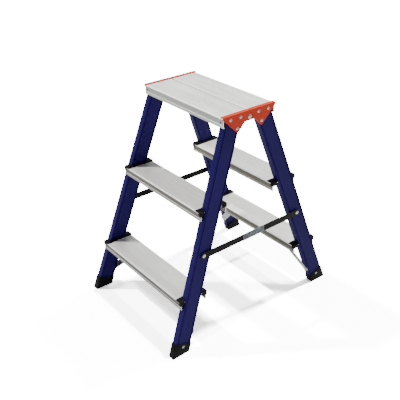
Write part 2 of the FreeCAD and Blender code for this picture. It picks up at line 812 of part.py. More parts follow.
def build():
    all_screw_holes = screw_holes(1) + screw_holes(-1)
    tab_holes = [brace_tab_hole(1), brace_tab_hole(-1)]
    lower = make_tread(tread_tops["lower"], all_screw_holes + tab_holes)
    upper = make_tread(tread_tops["upper"], all_screw_holes)
    platform = make_platform(all_screw_holes)
    save("front_tread_lower", lower)
    save("rear_tread_lower", turned(lower))
    save("front_tread_upper", upper)
    save("rear_tread_upper", turned(upper))
    save("front_platform", platform)
    save("rear_platform", turned(platform))

    for side, name in side_names.items():
        # Turned round Z, a right-hand front piece becomes the left-hand rear one.
        rear_name = side_names[-side]
        save(f"front_stile_{name}", frame_stile(side, stay_pivot_radius))
        save(f"rear_stile_{rear_name}", turned(frame_stile(side, stay_stud_radius)))
        foot = make_foot(side)
        save(f"front_foot_{name}", foot)
        save(f"rear_foot_{rear_name}", turned(foot))
        brace = make_brace(side)
        save(f"front_brace_{name}", brace)
        save(f"rear_brace_{rear_name}", turned(brace))
        for level, top in tread_tops.items():
            cap = make_cap(top, side)
            save(f"front_{level}_cap_{name}", cap)
            save(f"rear_{level}_cap_{rear_name}", turned(cap))
        save(f"front_hinge_plate_{name}", make_front_plate(side, plate_holes(side)))
        save(f"rear_hinge_plate_{rear_name}", make_rear_plate(side, plate_holes(side)))
        save(f"hinge_pin_{name}", make_pin(side))
        stay, hook_end = make_stay(side)
        save(f"stay_{name}", stay)
        save(f"stay_hook_end_{name}", hook_end)
        save(f"stay_label_{name}", make_label(side))
        save(f"stay_pivot_{name}", stay_post(side, stay_pivot_y(), stay_pivot_radius))
        save(f"stay_stud_{name}", stay_post(side, -stay_pivot_y(), stay_stud_radius))

    for group, rivets in (("plate_rivets", plate_rivets()), ("tread_screws", tread_screws()),
                          ("foot_rivets", foot_rivets()), ("brace_rivets", brace_rivets())):
        save(f"front_{group}", rivets)
        save(f"rear_{group}", [turned(rivet) for rivet in rivets])
    print(f"lean {lean:.2f} deg, splay {splay:.2f} deg, pin at z {pin_z:.1f}, "
          f"stay pivot y {stay_pivot_y():.2f}, stay inner x {stay_inner_x():.2f}")


build()
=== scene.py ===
# %% [markdown]
# # A folding step ladder
# This lesson dresses a finished metal frame. The treads, stiles, hinge plates and rivets are
# already there as exact solids, so Blender's share is the surfaces, the four moulded boots,
# the light and the camera. Everything is in metres, with +Z up and the front facing -Y.

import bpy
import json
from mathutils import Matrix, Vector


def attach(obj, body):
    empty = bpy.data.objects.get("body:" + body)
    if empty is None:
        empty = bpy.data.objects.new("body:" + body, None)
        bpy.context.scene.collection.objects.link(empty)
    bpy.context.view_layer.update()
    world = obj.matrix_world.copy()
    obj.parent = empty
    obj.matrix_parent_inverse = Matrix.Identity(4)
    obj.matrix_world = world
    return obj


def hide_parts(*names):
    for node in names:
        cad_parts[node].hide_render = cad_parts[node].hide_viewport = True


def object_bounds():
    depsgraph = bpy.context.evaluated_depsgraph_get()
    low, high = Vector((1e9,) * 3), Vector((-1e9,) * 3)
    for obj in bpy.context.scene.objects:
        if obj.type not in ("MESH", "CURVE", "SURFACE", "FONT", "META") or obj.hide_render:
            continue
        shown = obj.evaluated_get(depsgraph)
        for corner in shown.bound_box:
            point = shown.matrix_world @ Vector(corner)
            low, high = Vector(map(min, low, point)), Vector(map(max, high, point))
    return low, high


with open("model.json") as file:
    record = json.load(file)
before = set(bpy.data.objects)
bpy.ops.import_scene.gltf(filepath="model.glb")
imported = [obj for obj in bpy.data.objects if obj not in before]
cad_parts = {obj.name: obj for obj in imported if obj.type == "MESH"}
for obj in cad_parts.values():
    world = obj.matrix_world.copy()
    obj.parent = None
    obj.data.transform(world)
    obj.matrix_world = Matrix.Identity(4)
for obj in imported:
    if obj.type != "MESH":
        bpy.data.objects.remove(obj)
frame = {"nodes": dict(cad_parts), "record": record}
solid_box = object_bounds()

# %% The modules this lesson needs
import json
import math

import bpy
from mathutils import Matrix, Quaternion, Vector

nodes = frame["nodes"]
width, depth, height = solid_box[1] - solid_box[0]
print(f"ladder: {width:.3f} wide, {depth:.3f} deep, {height:.3f} high")

# %% [markdown]
# ## The camera
# It stands about two metres away, above the ladder and to its right, and looks down on the
# treads through a short portrait lens. The slight roll is that of a camera held by hand.

# %% Set up the camera
CAMERA_PLACE = Vector((1.352, -1.087, 1.302))
CAMERA_AIM = Vector((-0.0939, 0.0386, 0.2653))
CAMERA_ROLL = math.radians(-1.19)
LENS_MM, SENSOR_MM = 55.94, 36
CLIP_NEAR, CLIP_FAR = 0.05, 60

camera_data = bpy.data.cameras.new("camera")
camera = bpy.data.objects.new("camera", camera_data)
bpy.context.scene.collection.objects.link(camera)
camera_data.sensor_width = SENSOR_MM
camera_data.lens = LENS_MM
camera_data.clip_start = CLIP_NEAR
camera_data.clip_end = CLIP_FAR
camera.location = CAMERA_PLACE
aim = (CAMERA_AIM - CAMERA_PLACE).to_track_quat("-Z", "Y")
camera.rotation_mode = "QUATERNION"
camera.rotation_quaternion = aim @ Quaternion((0, 0, 1), CAMERA_ROLL)
bpy.context.scene.camera = camera
print("camera:", round((CAMERA_AIM - CAMERA_PLACE).length, 2), "m from its aim")

# %% [markdown]
# ## Helpers for node trees
# A finish is a chain of small nodes. These helpers add a node, set its sockets by name and
# join it to what feeds it, so a material reads like a list of what happens to the surface.


# %% Adding and feeding nodes
def join(tree, value, socket):
    """Feeds a socket from another one, or sets it to a plain value."""
    if isinstance(value, bpy.types.NodeSocket):
        tree.links.new(value, socket)
    else:
        socket.default_value = value


def feed(tree, node, sockets):
    """Feeds inputs by name. An underscore in a name stands for a space."""
    for name, value in sockets.items():
        wanted = name.replace("_", " ").lower()
        join(tree, value, next(s for s in node.inputs if s.name.lower() == wanted and s.enabled))


def add_node(tree, kind, settings=None, **sockets):
    """Adds one node. Sockets take a value, or the output socket that feeds them."""
    node = tree.nodes.new(kind)
    for name, value in (settings or {}).items():
        setattr(node, name, value)
    feed(tree, node, sockets)
    return node


print("node helpers ready")


# %% Sums, ranges and mixes
def math_node(tree, operation, *values, clamp=False):
    node = add_node(tree, "ShaderNodeMath", {"operation": operation, "use_clamp": clamp})
    for socket, value in zip(node.inputs, values):
        join(tree, value, socket)
    return node.outputs[0]


def scaled(tree, value, amount):
    return math_node(tree, "MULTIPLY", value, amount)


def remap(tree, value, low, high, to_low=0.0, to_high=1.0):
    """Stretches a value between two ends, and holds it there outside them."""
    node = add_node(tree, "ShaderNodeMapRange", {"clamp": True}, Value=value, From_Min=low,
                    From_Max=high, To_Min=to_low, To_Max=to_high)
    return node.outputs["Result"]


def mix_colour(tree, factor, first, second):
    node = add_node(tree, "ShaderNodeMix", {"data_type": "RGBA"})
    for index, value in ((0, factor), (6, first), (7, second)):
        join(tree, value, node.inputs[index])
    return node.outputs[2]


print("value helpers ready")


# %% Places and noises
def object_place(tree):
    return add_node(tree, "ShaderNodeTexCoord").outputs["Object"]


def split(tree, vector):
    return add_node(tree, "ShaderNodeSeparateXYZ", None, Vector=vector)


def noise(tree, where, scale, detail=3.0, roughness=0.5):
    node = add_node(tree, "ShaderNodeTexNoise", None, Vector=where, Scale=scale,
                    Detail=detail, Roughness=roughness)
    return node.outputs["Fac"]


print("pattern helpers ready")

# %% Making a group
FLOAT = "NodeSocketFloat"
VECTOR = "NodeSocketVector"


def new_group(name, inputs, outputs):
    """A shader node group with named sockets. Returns its tree and its two end nodes."""
    tree = bpy.data.node_groups.new(name, "ShaderNodeTree")
    for socket_name, kind, default in inputs:
        socket = tree.interface.new_socket(socket_name, in_out="INPUT", socket_type=kind)
        socket.default_value = default
    for socket_name in outputs:
        tree.interface.new_socket(socket_name, in_out="OUTPUT", socket_type=FLOAT)
    return tree, tree.nodes.new("NodeGroupInput"), tree.nodes.new("NodeGroupOutput")


print("group helper ready")

# %% [markdown]
# ## Edge wear
# Paint is thinnest on an edge and rubs through there first. A rounded normal from the Bevel
# node differs from the true one only near an edge, so the difference is a mask of edges. It
# works on any mesh, and noise breaks it up so that the wear isn't an outline.

# %% Build the edge wear group
EDGE_STARTS, EDGE_FULL = 0.985, 0.86      # how alike the two normals are

edge_tree, edge_in, edge_out = new_group(
    "edge wear", [("Width", FLOAT, 0.001), ("Patches", FLOAT, 90.0), ("Amount", FLOAT, 0.5)],
    ["Mask"])
rounded = add_node(edge_tree, "ShaderNodeBevel", {"samples": 4}, Radius=edge_in.outputs["Width"])
flat = add_node(edge_tree, "ShaderNodeNewGeometry")
alike = add_node(edge_tree, "ShaderNodeVectorMath", {"operation": "DOT_PRODUCT"})
edge_tree.links.new(rounded.outputs["Normal"], alike.inputs[0])
edge_tree.links.new(flat.outputs["Normal"], alike.inputs[1])
edge_line = remap(edge_tree, alike.outputs["Value"], EDGE_STARTS, EDGE_FULL)
cloud = noise(edge_tree, object_place(edge_tree), edge_in.outputs["Patches"], 4.0, 0.6)
worn = scaled(edge_tree, edge_line, remap(edge_tree, cloud, 0.42, 0.62))
worn = math_node(edge_tree, "MULTIPLY", worn, edge_in.outputs["Amount"], clamp=True)
edge_tree.links.new(worn, edge_out.inputs["Mask"])
print("group:", edge_tree.name)

# %% [markdown]
# ## Handling marks
# Nothing that is carried about stays evenly shiny. Broad soft noise stands for the smudges of
# hands and shoes, and a finer one for the small scuffs inside them.

# %% Build the handling group
handled_tree, handled_in, handled_out = new_group(
    "handling", [("Size", FLOAT, 9.0), ("Scuffs", FLOAT, 60.0)], ["Broad", "Fine"])
where = object_place(handled_tree)
cloud = noise(handled_tree, where, handled_in.outputs["Size"], 3.0)
broad = remap(handled_tree, cloud, 0.3, 0.7)
cloud = noise(handled_tree, where, handled_in.outputs["Scuffs"], 6.0, 0.7)
fine = remap(handled_tree, cloud, 0.45, 0.7)
handled_tree.links.new(broad, handled_out.inputs["Broad"])
handled_tree.links.new(scaled(handled_tree, fine, broad), handled_out.inputs["Fine"])
print("group:", handled_tree.name)

# %% [markdown]
# ## Drawn lines
# An extrusion comes out of its die with hair-fine lines along its whole length, and a rolled
# strip looks much the same. The group stretches noise along one axis and gives two sizes of
# line: the hair lines for the bump and some wider, paler bands for the colour.

# %% Build the drawn line group
drawn_tree, drawn_in, drawn_out = new_group(
    "drawn lines", [("Squeeze", VECTOR, (4.0, 900.0, 900.0)), ("Bands", VECTOR, (1.5, 60.0, 60.0))],
    ["Lines", "Bands"])
where = object_place(drawn_tree)
for squeeze, output, low, high in (("Squeeze", "Lines", 0.3, 0.7), ("Bands", "Bands", 0.35, 0.65)):
    place = add_node(drawn_tree, "ShaderNodeVectorMath", {"operation": "MULTIPLY"})
    drawn_tree.links.new(where, place.inputs[0])
    drawn_tree.links.new(drawn_in.outputs[squeeze], place.inputs[1])
    line = noise(drawn_tree, place.outputs[0], 1.0, 2.0, 0.55)
    drawn_tree.links.new(remap(drawn_tree, line, low, high), drawn_out.inputs[output])
print("group:", drawn_tree.name)

# %% [markdown]
# ## Grain
# Powder coat dries with the skin of an orange, and moulded plastic copies a spark-eroded
# mould. Both are an even, tiny bumpiness, so one group makes both from two noises.

# %% Build the grain group
SMALL_SHARE = 0.4

grain_tree, grain_in, grain_out = new_group(
    "grain", [("Scale", FLOAT, 700.0), ("Second", FLOAT, 2300.0)], ["Height"])
where = object_place(grain_tree)
coarse = noise(grain_tree, where, grain_in.outputs["Scale"], 2.0)
small = noise(grain_tree, where, grain_in.outputs["Second"], 1.0)
both = math_node(grain_tree, "MULTIPLY_ADD", small, SMALL_SHARE, coarse)
grain_tree.links.new(both, grain_out.inputs["Height"])
print("group:", grain_tree.name)

# %% [markdown]
# ## Dust from above
# Dust settles on what faces up and on what is near the floor. The mask uses the surface's own
# normal and height, so it stays put whatever the light or the view.

# %% Build the dust group
UPWARD_STARTS, UPWARD_SHARE = 0.6, 0.5

dust_tree, dust_in, dust_out = new_group(
    "dust", [("Floor Reach", FLOAT, 0.05), ("Patches", FLOAT, 30.0)], ["Mask"])
where = object_place(dust_tree)
rise = math_node(dust_tree, "DIVIDE", split(dust_tree, where).outputs["Z"],
                 dust_in.outputs["Floor Reach"])
near_floor = math_node(dust_tree, "SUBTRACT", 1.0, rise, clamp=True)
facing = split(dust_tree, add_node(dust_tree, "ShaderNodeNewGeometry").outputs["Normal"])
upward = remap(dust_tree, facing.outputs["Z"], UPWARD_STARTS, 1.0, 0.0, UPWARD_SHARE)
settled = math_node(dust_tree, "ADD", near_floor, upward, clamp=True)
cloud = noise(dust_tree, where, dust_in.outputs["Patches"], 5.0, 0.65)
broken = remap(dust_tree, cloud, 0.4, 0.7)
dust_tree.links.new(scaled(dust_tree, settled, broken), dust_out.inputs["Mask"])
print("group:", dust_tree.name)

# %% [markdown]
# ## How each finish is put together
# Every finish ends in one Principled shader. The helpers make the empty material, place a
# group in it, and join its roughness and its bump, so that each finish below only says what
# is special about it. Ambient occlusion over a few millimetres finds the grooves, and several
# finishes paint shade into them.


# %% Material helpers
finishes = {}


def new_material(name):
    material = bpy.data.materials.new(name)
    material.use_nodes = True
    tree = material.node_tree
    shader = next(n for n in tree.nodes if n.type == "BSDF_PRINCIPLED")
    return material, tree, shader


def use_group(tree, group, **values):
    node = add_node(tree, "ShaderNodeGroup", {"node_tree": group})
    feed(tree, node, values)
    return node


def set_shader(shader, **values):
    for name, value in values.items():
        shader.inputs[name.replace("_", " ")].default_value = value


def keep_finish(slot, material):
    finishes[slot] = material
    print("finish:", slot)


# %% Helpers for tones, grooves and bumps
def rgb(red, green, blue):
    return (red, green, blue, 1)


def grooves(tree, reach, tight, open_face, most):
    """A mask that is 0 on open faces and rises to most in grooves narrower than reach, used to
    paint shade into the grooves.
    """
    hollow = add_node(tree, "ShaderNodeAmbientOcclusion", {"samples": 6, "only_local": True},
                      Distance=reach)
    return remap(tree, hollow.outputs["AO"], tight, open_face, most, 0.0)


def set_roughness(tree, shader, mask, at_none, at_full):
    tree.links.new(remap(tree, mask, 0, 1, at_none, at_full), shader.inputs["Roughness"])


def set_bump(tree, shader, height, strength, distance):
    bump = add_node(tree, "ShaderNodeBump", None, Height=height, Strength=strength,
                    Distance=distance)
    tree.links.new(bump.outputs["Normal"], shader.inputs["Normal"])


print("material helpers ready")

# %% [markdown]
# ## Powder coat
# The stiles are blue and the hinge plates orange, both baked powder. It is a thick, slightly
# soft gloss with orange peel. Where it has rubbed, a paler, chalky tone shows on the edges.

# %% Values for powder coat
COAT_DUST, DUST_TONE = 0.01, rgb(0.42, 0.40, 0.37)
GROOVE_SHADE = 0.12
SMUDGE_DULLS, SMUDGE_SHINES, SCUFF_DULLS = 0.08, 0.03, 0.10
BLUE = {"colour": rgb(0.0080, 0.0010, 0.074), "deep": rgb(0.0061, 0.0008, 0.057),
        "rubbed": rgb(0.050, 0.050, 0.240), "roughness": 0.48, "wear": 0.35, "coat": 0.0}
ORANGE = {"colour": rgb(0.440, 0.024, 0.003), "deep": rgb(0.350, 0.018, 0.002),
          "rubbed": rgb(0.760, 0.220, 0.100), "roughness": 0.42, "wear": 0.50, "coat": 0.08}
print("powder tones:", BLUE["colour"][:3], ORANGE["colour"][:3])


# %% Powder coat, in two colours
def powder_coat(name, colour, deep, rubbed, roughness, wear, coat):
    material, tree, shader = new_material(name)
    marks = use_group(tree, handled_tree, Size=7.0, Scuffs=70.0)
    edges = use_group(tree, edge_tree, Width=0.0012, Patches=75.0, Amount=wear)
    peel = use_group(tree, grain_tree, Scale=520.0, Second=1900.0)
    dust = use_group(tree, dust_tree, Floor_Reach=0.09, Patches=24.0)
    body = mix_colour(tree, marks.outputs["Broad"], deep, colour)
    body = mix_colour(tree, scaled(tree, dust.outputs["Mask"], COAT_DUST), body, DUST_TONE)
    # Painted shade: the occlusion mask darkens the coat in grooves and recesses, where shade falls.
    body = mix_colour(tree, grooves(tree, 0.0035, 0.55, 0.97, 0.75), body,
                      rgb(*(c * GROOVE_SHADE for c in deep[:3])))
    body = mix_colour(tree, edges.outputs["Mask"], body, rubbed)
    tree.links.new(body, shader.inputs["Base Color"])
    shine = remap(tree, marks.outputs["Broad"], 0, 1, roughness + SMUDGE_DULLS,
                  roughness - SMUDGE_SHINES)
    shine = math_node(tree, "ADD", shine, scaled(tree, marks.outputs["Fine"], SCUFF_DULLS))
    tree.links.new(shine, shader.inputs["Roughness"])
    set_bump(tree, shader, peel.outputs["Height"], 0.22, 0.0002)
    set_shader(shader, Coat_Weight=coat, Coat_Roughness=0.25, Specular_IOR_Level=0.07)
    return material


keep_finish("blue_powder_coat", powder_coat("blue powder coat", **BLUE))
keep_finish("orange_coat", powder_coat("orange powder coat", **ORANGE))

# %% [markdown]
# ## Mill-finished aluminium
# The treads are sawn lengths of extrusion, not polished or painted. The metal is pale and
# satin, with lines along its length, a slight greyness where shoes have been, and bright
# edges. Shade is painted into the grooves between the ribs.

# %% Aluminium for the treads
METAL_DEEP, METAL_PALE = rgb(0.87, 0.87, 0.83), rgb(0.96, 0.96, 0.92)
SHOE_GREY, ALUMINIUM_SHADE_IN_GROOVES = rgb(0.50, 0.50, 0.48), rgb(0.34, 0.34, 0.33)
EDGE_BRIGHT = rgb(0.90, 0.90, 0.89)

material, tree, shader = new_material("mill aluminium")
lines = use_group(tree, drawn_tree, Squeeze=(5.0, 700.0, 700.0), Bands=(1.2, 70.0, 70.0))
marks = use_group(tree, handled_tree, Size=11.0, Scuffs=85.0)
edges = use_group(tree, edge_tree, Width=0.0007, Patches=110.0, Amount=0.5)
pale = mix_colour(tree, lines.outputs["Bands"], METAL_DEEP, METAL_PALE)
pale = mix_colour(tree, scaled(tree, marks.outputs["Fine"], 0.28), pale, SHOE_GREY)
# Painted shade in the grooves between the ribs.
pale = mix_colour(tree, grooves(tree, 0.0022, 0.35, 0.95, 0.45), pale, ALUMINIUM_SHADE_IN_GROOVES)
pale = mix_colour(tree, edges.outputs["Mask"], pale, EDGE_BRIGHT)
print("aluminium: lines, shoe marks, grooves and edges")

# %% [markdown]
# Each tread's wall is a rounded nose, a recessed web and a bead at the foot, with shade painted
# on the web under the nose. Every level is the same height below the one above, so the drop from
# a tread's top is a remainder, and one mask finds the web on all of them. The two lower levels
# get the darker painted shade.

# %% Painted shade on the web of each wall
TREAD_RISE = 0.254
PLATFORM_TOP = 0.680
TREAD_BEAD, PLATFORM_BEAD = 0.0175, 0.0205          # drop from the top to the bead
PLATFORM_STARTS, PLATFORM_FULL = 0.60, 0.64         # heights that part it from the treads
NOSE_ENDS, WEB_STARTS = 0.0034, 0.0044
BEAD_BLUR = 0.0005
WEB_ON_TREAD, WEB_ON_PLATFORM = 0.80, 0.97
TREAD_WEB_SHADE, PLATFORM_WEB_SHADE = rgb(0.080, 0.076, 0.060), rgb(0.260, 0.275, 0.250)

place = split(tree, object_place(tree))
on_platform = remap(tree, place.outputs["Z"], PLATFORM_STARTS, PLATFORM_FULL)
drop = math_node(tree, "SUBTRACT", PLATFORM_TOP + TREAD_RISE, place.outputs["Z"])
drop = math_node(tree, "MODULO", drop, TREAD_RISE)
below_nose = remap(tree, drop, NOSE_ENDS, WEB_STARTS)
bead = remap(tree, on_platform, 0, 1, TREAD_BEAD, PLATFORM_BEAD)
above_bead = remap(tree, math_node(tree, "SUBTRACT", bead, drop), -BEAD_BLUR, BEAD_BLUR)
facing = split(tree, add_node(tree, "ShaderNodeNewGeometry").outputs["True Normal"])
upright = remap(tree, math_node(tree, "ABSOLUTE", facing.outputs["Y"]), 0.5, 0.9)
web = remap(tree, above_bead, 0, 1, WEB_ON_TREAD, WEB_ON_PLATFORM)
web = scaled(tree, scaled(tree, below_nose, web), upright)
# Painted shade on the upright web under each nose, darker on the two lower levels.
pale = mix_colour(tree, web, pale, mix_colour(tree, on_platform, TREAD_WEB_SHADE, PLATFORM_WEB_SHADE))
print("web: every", TREAD_RISE, "m below", PLATFORM_TOP)

# %% Painted shade in the platform's seam, and the metal's shine
SEAM_OUTER, SEAM_INNER = 0.0021, 0.0017
SEAM_SHADE = rgb(0.030, 0.030, 0.027)

aside = math_node(tree, "ABSOLUTE", place.outputs["Y"])
seam = scaled(tree, remap(tree, aside, SEAM_OUTER, SEAM_INNER), on_platform)
# Painted shade in the narrow seam between the two platform halves.
pale = mix_colour(tree, seam, pale, SEAM_SHADE)
tree.links.new(pale, shader.inputs["Base Color"])
satin = remap(tree, lines.outputs["Bands"], 0, 1, 0.50, 0.40)
satin = math_node(tree, "ADD", satin, scaled(tree, marks.outputs["Broad"], 0.07))
tree.links.new(satin, shader.inputs["Roughness"])
set_bump(tree, shader, lines.outputs["Lines"], 0.16, 0.00015)
set_shader(shader, Metallic=0.85)
keep_finish("tread_aluminium", material)

# %% [markdown]
# ## Black moulded plastic
# The boots and the tread caps are a glass-filled plastic with a spark-eroded grain. It greys
# with scuffs on its corners, and the boots pick up dust from the floor.

# %% Plastic for the caps and boots
PLASTIC_DEEP, PLASTIC_PALE = rgb(0.0016, 0.0016, 0.0019), rgb(0.0030, 0.0030, 0.0034)
PLASTIC_DUST, PLASTIC_SCUFF = rgb(0.12, 0.117, 0.11), rgb(0.030, 0.030, 0.029)

material, tree, shader = new_material("black plastic")
grain = use_group(tree, grain_tree, Scale=950.0, Second=3000.0)
edges = use_group(tree, edge_tree, Width=0.0016, Patches=140.0, Amount=0.45)
marks = use_group(tree, handled_tree, Size=16.0, Scuffs=120.0)
dust = use_group(tree, dust_tree, Floor_Reach=0.030, Patches=60.0)
black = mix_colour(tree, marks.outputs["Broad"], PLASTIC_DEEP, PLASTIC_PALE)
black = mix_colour(tree, scaled(tree, dust.outputs["Mask"], 0.08), black, PLASTIC_DUST)
black = mix_colour(tree, edges.outputs["Mask"], black, PLASTIC_SCUFF)
tree.links.new(black, shader.inputs["Base Color"])
set_roughness(tree, shader, marks.outputs["Fine"], 0.42, 0.62)
set_bump(tree, shader, grain.outputs["Height"], 0.30, 0.00018)
set_shader(shader, Specular_IOR_Level=0.06)
keep_finish("black_plastic", material)

# %% [markdown]
# ## Blackened and bright steel
# Five small finishes are left: the stays' satin black paint, the braces' zinc plate, the
# bright rivets, the dark screws and the grey sleeve. The zinc has faint crystals, which a
# Voronoi texture gives, and rolled strip runs in lines along its length.

# %% Satin black for the stays
PAINT_DEEP, PAINT_PALE = rgb(0.0018, 0.0018, 0.0018), rgb(0.0034, 0.0034, 0.0036)
PAINT_WORN = rgb(0.045, 0.045, 0.045)

material, tree, shader = new_material("satin black coat")
lines = use_group(tree, drawn_tree, Squeeze=(500.0, 7.0, 500.0), Bands=(60.0, 3.0, 60.0))
edges = use_group(tree, edge_tree, Width=0.0012, Patches=95.0, Amount=0.35)
marks = use_group(tree, handled_tree, Size=14.0, Scuffs=100.0)
coat = mix_colour(tree, lines.outputs["Bands"], PAINT_DEEP, PAINT_PALE)
coat = mix_colour(tree, edges.outputs["Mask"], coat, PAINT_WORN)
tree.links.new(coat, shader.inputs["Base Color"])
set_roughness(tree, shader, marks.outputs["Fine"], 0.34, 0.55)
set_bump(tree, shader, lines.outputs["Lines"], 0.12, 0.0001)
set_shader(shader, Specular_IOR_Level=0.06)
keep_finish("black_coat", material)

# %% Zinc plate and bright steel
SMUDGE_SHADE = 0.55
STEEL_EDGE, STEEL_SHADE_IN_GROOVES = rgb(0.70, 0.70, 0.69), rgb(0.04, 0.04, 0.04)


def plated_steel(name, dull, bright, roughness, crystals):
    material, tree, shader = new_material(name)
    spangle = add_node(tree, "ShaderNodeTexVoronoi", None, Vector=object_place(tree),
                       Scale=crystals)
    tone = split(tree, spangle.outputs["Color"]).outputs["X"]
    marks = use_group(tree, handled_tree, Size=20.0, Scuffs=150.0)
    edges = use_group(tree, edge_tree, Width=0.0006, Patches=160.0, Amount=0.5)
    metal = mix_colour(tree, tone, dull, bright)
    metal = mix_colour(tree, scaled(tree, marks.outputs["Fine"], 0.4), metal,
                       rgb(*(c * SMUDGE_SHADE for c in dull[:3])))
    metal = mix_colour(tree, edges.outputs["Mask"], metal, STEEL_EDGE)
    # Painted shade in the dimples of rivets and screws and in other narrow grooves.
    metal = mix_colour(tree, grooves(tree, 0.0016, 0.30, 0.92, 0.85), metal, STEEL_SHADE_IN_GROOVES)
    tree.links.new(metal, shader.inputs["Base Color"])
    set_roughness(tree, shader, tone, roughness + 0.06, roughness - 0.04)
    grain = use_group(tree, grain_tree, Scale=900.0, Second=2600.0)
    set_bump(tree, shader, grain.outputs["Height"], 0.10, 0.0001)
    set_shader(shader, Metallic=0.95)
    return material


keep_finish("zinc_steel", plated_steel(
    "zinc plate", rgb(0.25, 0.26, 0.26), rgb(0.37, 0.38, 0.375), 0.42, 130.0))
keep_finish("bright_steel", plated_steel(
    "bright rivet steel", rgb(0.33, 0.335, 0.345), rgb(0.47, 0.475, 0.48), 0.36, 420.0))
keep_finish("dark_steel", plated_steel(
    "blackened screw steel", rgb(0.060, 0.057, 0.052), rgb(0.095, 0.090, 0.082), 0.40, 420.0))

# %% [markdown]
# ## The stay's sleeve
# Each stay carries a grey plastic sleeve with a plain printed band: rows of short bars of
# different lengths, which say nothing. Bricks that are far longer than high make such rows,
# and a noise leaves some of the bars out.

# %% Printed sleeve
FILM_DEEP, FILM_PALE = rgb(0.050, 0.058, 0.064), rgb(0.095, 0.106, 0.114)
INK_TONE, INK_STRENGTH = rgb(0.300, 0.325, 0.345), 0.75

material, tree, shader = new_material("printed sleeve")
parts = split(tree, object_place(tree))
face = add_node(tree, "ShaderNodeCombineXYZ", None, X=parts.outputs["Y"], Y=parts.outputs["Z"])
rows = add_node(tree, "ShaderNodeTexBrick",
                {"offset": 0.37, "squash": 0.6, "squash_frequency": 3}, Vector=face.outputs[0],
                Color1=rgb(1, 1, 1), Color2=rgb(0.35, 0.35, 0.35), Mortar=rgb(0, 0, 0), Scale=1.0,
                Mortar_Size=0.0011, Mortar_Smooth=0.1, Brick_Width=0.0105, Row_Height=0.0044)
kept = remap(tree, noise(tree, face.outputs[0], 95.0, 1.0), 0.44, 0.50)
ink = scaled(tree, rows.outputs["Color"], kept)
marks = use_group(tree, handled_tree, Size=30.0, Scuffs=160.0)
film = mix_colour(tree, marks.outputs["Broad"], FILM_DEEP, FILM_PALE)
film = mix_colour(tree, scaled(tree, ink, INK_STRENGTH), film, INK_TONE)
tree.links.new(film, shader.inputs["Base Color"])
set_roughness(tree, shader, marks.outputs["Fine"], 0.38, 0.55)
set_bump(tree, shader, ink, 0.15, 0.0001)
set_shader(shader, Specular_IOR_Level=0.15)
keep_finish("grey_label", material)

# %% [markdown]
# ## Put the finishes on the frame
# The frame's own pieces name the finish they want in the record, so a loop is enough.

# %% Dress the CAD pieces
slot_of = {p["node"]: p["material_slot"] for p in frame["record"]["subparts"]}
for name, piece in nodes.items():
    piece.data.materials.clear()
    piece.data.materials.append(finishes[slot_of[name]])
print("dressed:", len(slot_of), "pieces in", len(finishes), "finishes")

# %% [markdown]
# ## The boots
# A boot is a moulded sleeve over the stile's end: rounded corners, a soft rim, a parting
# groove just above the floor and bars across the sole for grip. A box is a good start,
# because the boot is one in the stile's own axes. It is shaped upright first, then leaned
# like the stile, and only then cut level with the floor, so that the sole comes out flat.

# %% Sizes of a boot, in metres
BOOT_WIDTH, BOOT_DEPTH = 0.0238, 0.0578
BOOT_TOP, BOOT_BELOW = 0.0365, 0.030
BOOT_WALL, BOOT_POCKET = 0.0018, 0.022
BOOT_CORNER, CORNER_STEPS = 0.0025, 5
BOOT_RIM, RIM_STEPS = 0.0006, 2
STILE_LEAN, STILE_SPLAY = math.radians(19.85), math.radians(3.85)
STILE_FOOT = Vector((0.21827, -0.295, 0.0))
PARTING_LOW, PARTING_HIGH, PARTING_DEEP = 0.0085, 0.0094, 0.0004
SOLE_EDGE, SOLE_BARS, SOLE_DEEP = 0.0025, 9, 0.0010
SMOOTH_BELOW = math.radians(35)
NEAR = 1e-5                         # two places closer than this count as one
print("boot:", BOOT_WIDTH, "by", BOOT_DEPTH)


# %% Choosing faces and edges in code
def choose(piece, kind, wanted):
    """Select the faces or edges that wanted() says yes to, and nothing else."""
    bpy.ops.mesh.select_all(action="DESELECT")
    bpy.ops.mesh.select_mode(type=kind)
    bpy.ops.object.mode_set(mode="OBJECT")
    mesh = piece.data
    parts = mesh.polygons if kind == "FACE" else mesh.edges
    for part in parts:
        ends = [mesh.vertices[i].co for i in part.vertices]
        part.select = wanted(part, ends)
    count = sum(part.select for part in parts)
    bpy.ops.object.mode_set(mode="EDIT")
    return count


def upright_edge(edge, ends):
    return (ends[0] - ends[1]).xy.length < NEAR


def face_up(face, ends):
    return face.normal.z > 0.9 and min(e.z for e in ends) > BOOT_TOP - NEAR


def rim_edge(edge, ends):
    """An edge of the top face that lies along the boot's outside."""
    outer = all(abs(e.x) > BOOT_WIDTH / 2 - BOOT_CORNER - NEAR
                or abs(e.y) > BOOT_DEPTH / 2 - BOOT_CORNER - NEAR for e in ends)
    inner = all(abs(e.x) < BOOT_WIDTH / 2 - BOOT_WALL + NEAR
                and abs(e.y) < BOOT_DEPTH / 2 - BOOT_WALL + NEAR for e in ends)
    return outer and not inner and min(e.z for e in ends) > BOOT_TOP - NEAR


print("choosing helpers ready")

# %% Shape one boot upright
bpy.ops.object.select_all(action="DESELECT")
bpy.ops.mesh.primitive_cube_add(size=1)
boot = bpy.context.object
boot.name = "boot_front_right"
bpy.ops.object.mode_set(mode="EDIT")
bpy.ops.transform.resize(value=(BOOT_WIDTH, BOOT_DEPTH, BOOT_TOP + BOOT_BELOW))
bpy.ops.transform.translate(value=(0, 0, (BOOT_TOP - BOOT_BELOW) / 2))
corners = choose(boot, "EDGE", upright_edge)
bpy.ops.mesh.bevel(offset=BOOT_CORNER, segments=CORNER_STEPS, affect="EDGES")
choose(boot, "FACE", face_up)
bpy.ops.mesh.inset(thickness=BOOT_WALL)
bpy.ops.mesh.extrude_region_move(TRANSFORM_OT_translate={"value": (0, 0, -BOOT_POCKET)})
rims = choose(boot, "EDGE", rim_edge)
bpy.ops.mesh.bevel(offset=BOOT_RIM, segments=RIM_STEPS, affect="EDGES")
print("boot:", corners, "corners rounded,", rims, "rim edges softened")

